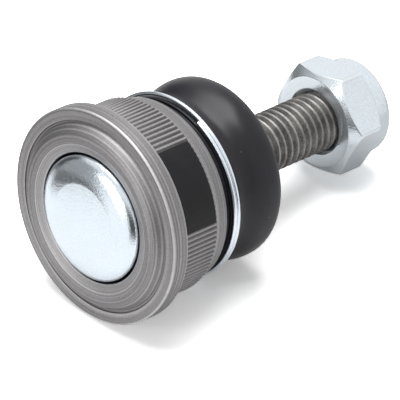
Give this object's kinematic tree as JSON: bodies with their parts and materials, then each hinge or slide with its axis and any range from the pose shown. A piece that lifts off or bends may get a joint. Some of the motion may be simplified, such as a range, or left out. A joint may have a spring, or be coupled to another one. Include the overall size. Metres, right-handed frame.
{
  "type": "suspension ball joint",
  "caption": "Press-in suspension ball joint: knurled steel housing with flange and domed cap, rubber dust boot on a wire clamp, tapered threaded stud and lock nut.",
  "frame": {"origin": "centre of the ball, which lies inside the pressed-in band of the housing", "axes": "+Z along the straight stud towards its thread; -Y is up when the joint lies on its flange and boot, so stud_swing moves the stud level with the surface it lies on"},
  "size_m": [0.0508, 0.0508, 0.0872],
  "materials": {
    "turned_steel": "turned, fine circular tool marks, satin",
    "zinc_plate": "blue-white zinc plating, semi-gloss",
    "bearing_plastic": "natural acetal, satin",
    "spring_steel": "oiled spring steel",
    "phosphated_steel": "dark grey-brown phosphate, low sheen",
    "boot_rubber": "moulded chloroprene, satin",
    "bright_wire": "bright drawn wire",
    "insert_nylon": "dyed nylon"
  },
  "bodies": {
    "joint_housing": {"housing": "turned_steel", "closure_cap": "zinc_plate", "bearing_shell": "bearing_plastic", "pressure_seat": "bearing_plastic", "preload_spring": "spring_steel", "boot_clamp_ring": "bright_wire"},
    "boot": {"dust_boot": "boot_rubber"},
    "boot_collar": {"boot_collar_ring": "bright_wire"},
    "stud": {"ball_stud": "phosphated_steel"},
    "insert": {"nut_insert": "insert_nylon"},
    "nut": {"lock_nut": "zinc_plate"}
  },
  "joints": [
    {"name": "swing_direction", "type": "hinge", "parent": "joint_housing", "child": "boot", "pos_m": [0, 0, 0], "axis": [0, 0, 1], "continuous": true},
    {"name": "stud_swing", "type": "hinge", "parent": "boot", "child": "boot_collar", "pos_m": [0, 0, 0], "axis": [0, 1, 0], "range_deg": [-25, 25], "deforming": ["dust_boot"]},
    {"name": "stud_spin", "type": "hinge", "parent": "boot_collar", "child": "stud", "pos_m": [0, 0, 0], "axis": [0, 0, 1], "continuous": true},
    {"name": "nut_travel", "type": "slide", "parent": "stud", "child": "insert", "axis": [0, 0, 1], "range_m": [-0.018, 0.007]},
    {"name": "nut_turn", "type": "hinge", "parent": "insert", "child": "nut", "pos_m": [0, 0, 0], "axis": [0, 0, 1], "range_deg": [-3240, 1260]}
  ],
  "couplings": [
    {"joint": "nut_travel", "follows": "nut_turn", "m_per_rad": 0.00031831}
  ]
}
